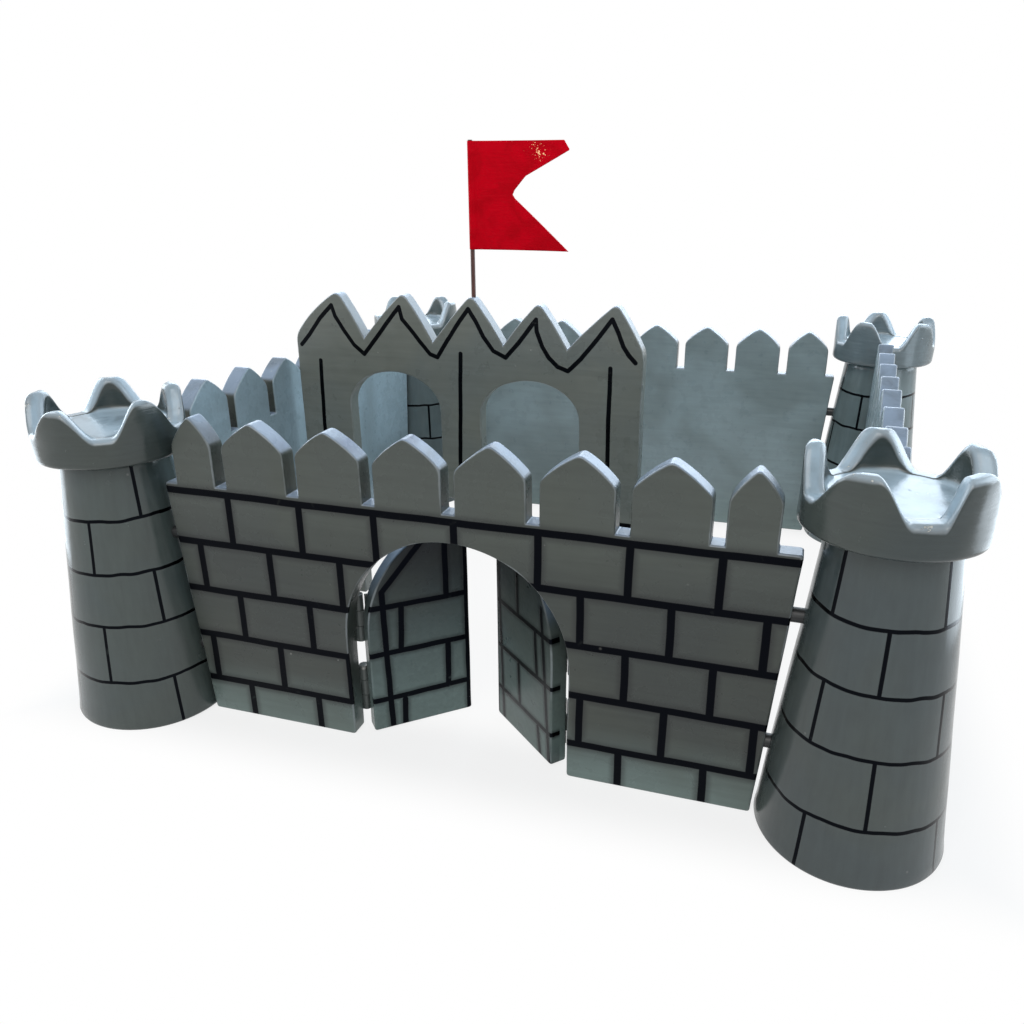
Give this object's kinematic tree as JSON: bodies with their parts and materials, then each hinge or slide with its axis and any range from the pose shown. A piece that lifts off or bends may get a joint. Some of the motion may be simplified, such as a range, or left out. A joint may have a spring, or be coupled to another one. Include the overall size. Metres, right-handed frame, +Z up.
{
  "type": "toy castle",
  "caption": "Painted wooden toy castle with crenellated walls, tapered corner towers, hinged gate doors, an inner keep board and a small flag.",
  "frame": {"origin": "on the ground, under the middle of the overall box", "axes": "+Z up, front wall and gate facing -Y, +X to the right seen from the front"},
  "size_m": [0.4311, 0.412, 0.2675],
  "materials": {
    "wall_paint": "gloss grey enamel over board, black painted brick lines outside",
    "tower_paint": "gloss grey enamel over turned wood, black pen brick lines",
    "cap_paint": "gloss grey enamel, brushed by hand",
    "door_paint": "gloss grey enamel with black brick lines",
    "keep_paint": "gloss grey enamel with black pen lines",
    "pin_paint": "painted dark over dowel",
    "hinge_paint": "painted over with the grey enamel",
    "bare_wood": "bare birch dowel, hidden",
    "stick": "dark brown stained stick",
    "flag_tape": "glossy red tape folded on itself"
  },
  "bodies": {
    "root": {"front_wall": "wall_paint", "right_wall": "wall_paint", "back_wall": "wall_paint", "left_wall": "wall_paint", "tower_front_left": "tower_paint", "tower_front_right": "tower_paint", "tower_back_right": "tower_paint", "tower_back_left": "tower_paint", "cap_front_left": "cap_paint", "cap_front_right": "cap_paint", "cap_back_right": "cap_paint", "cap_back_left": "cap_paint", "wall_pins_front": "pin_paint", "wall_pins_right": "pin_paint", "wall_pins_back": "pin_paint", "wall_pins_left": "pin_paint", "cap_dowels": "bare_wood", "wall_screws": "hinge_paint", "keep_board": "keep_paint", "flagpole": "stick", "flag": "flag_tape", "hinge_left_lower_wall_leaf": "hinge_paint", "hinge_left_upper_wall_leaf": "hinge_paint", "hinge_left_lower_pin": "hinge_paint", "hinge_left_upper_pin": "hinge_paint", "hinge_right_lower_wall_leaf": "hinge_paint", "hinge_right_upper_wall_leaf": "hinge_paint", "hinge_right_lower_pin": "hinge_paint", "hinge_right_upper_pin": "hinge_paint"},
    "gate_left": {"gate_door_left": "door_paint", "hinge_left_lower_door_leaf": "hinge_paint", "hinge_left_upper_door_leaf": "hinge_paint", "door_screws_left": "hinge_paint"},
    "gate_right": {"gate_door_right": "door_paint", "hinge_right_lower_door_leaf": "hinge_paint", "hinge_right_upper_door_leaf": "hinge_paint", "door_screws_right": "hinge_paint"}
  },
  "joints": [
    {"name": "gate_left_hinge", "type": "hinge", "parent": "root", "child": "gate_left", "pos_m": [-0.06035, -0.1618, 0.03], "axis": [0, 0, 1], "range_deg": [-42, 128]},
    {"name": "gate_right_hinge", "type": "hinge", "parent": "root", "child": "gate_right", "pos_m": [0.04305, -0.1618, 0.03], "axis": [0, 0, -1], "range_deg": [-42, 128]}
  ]
}
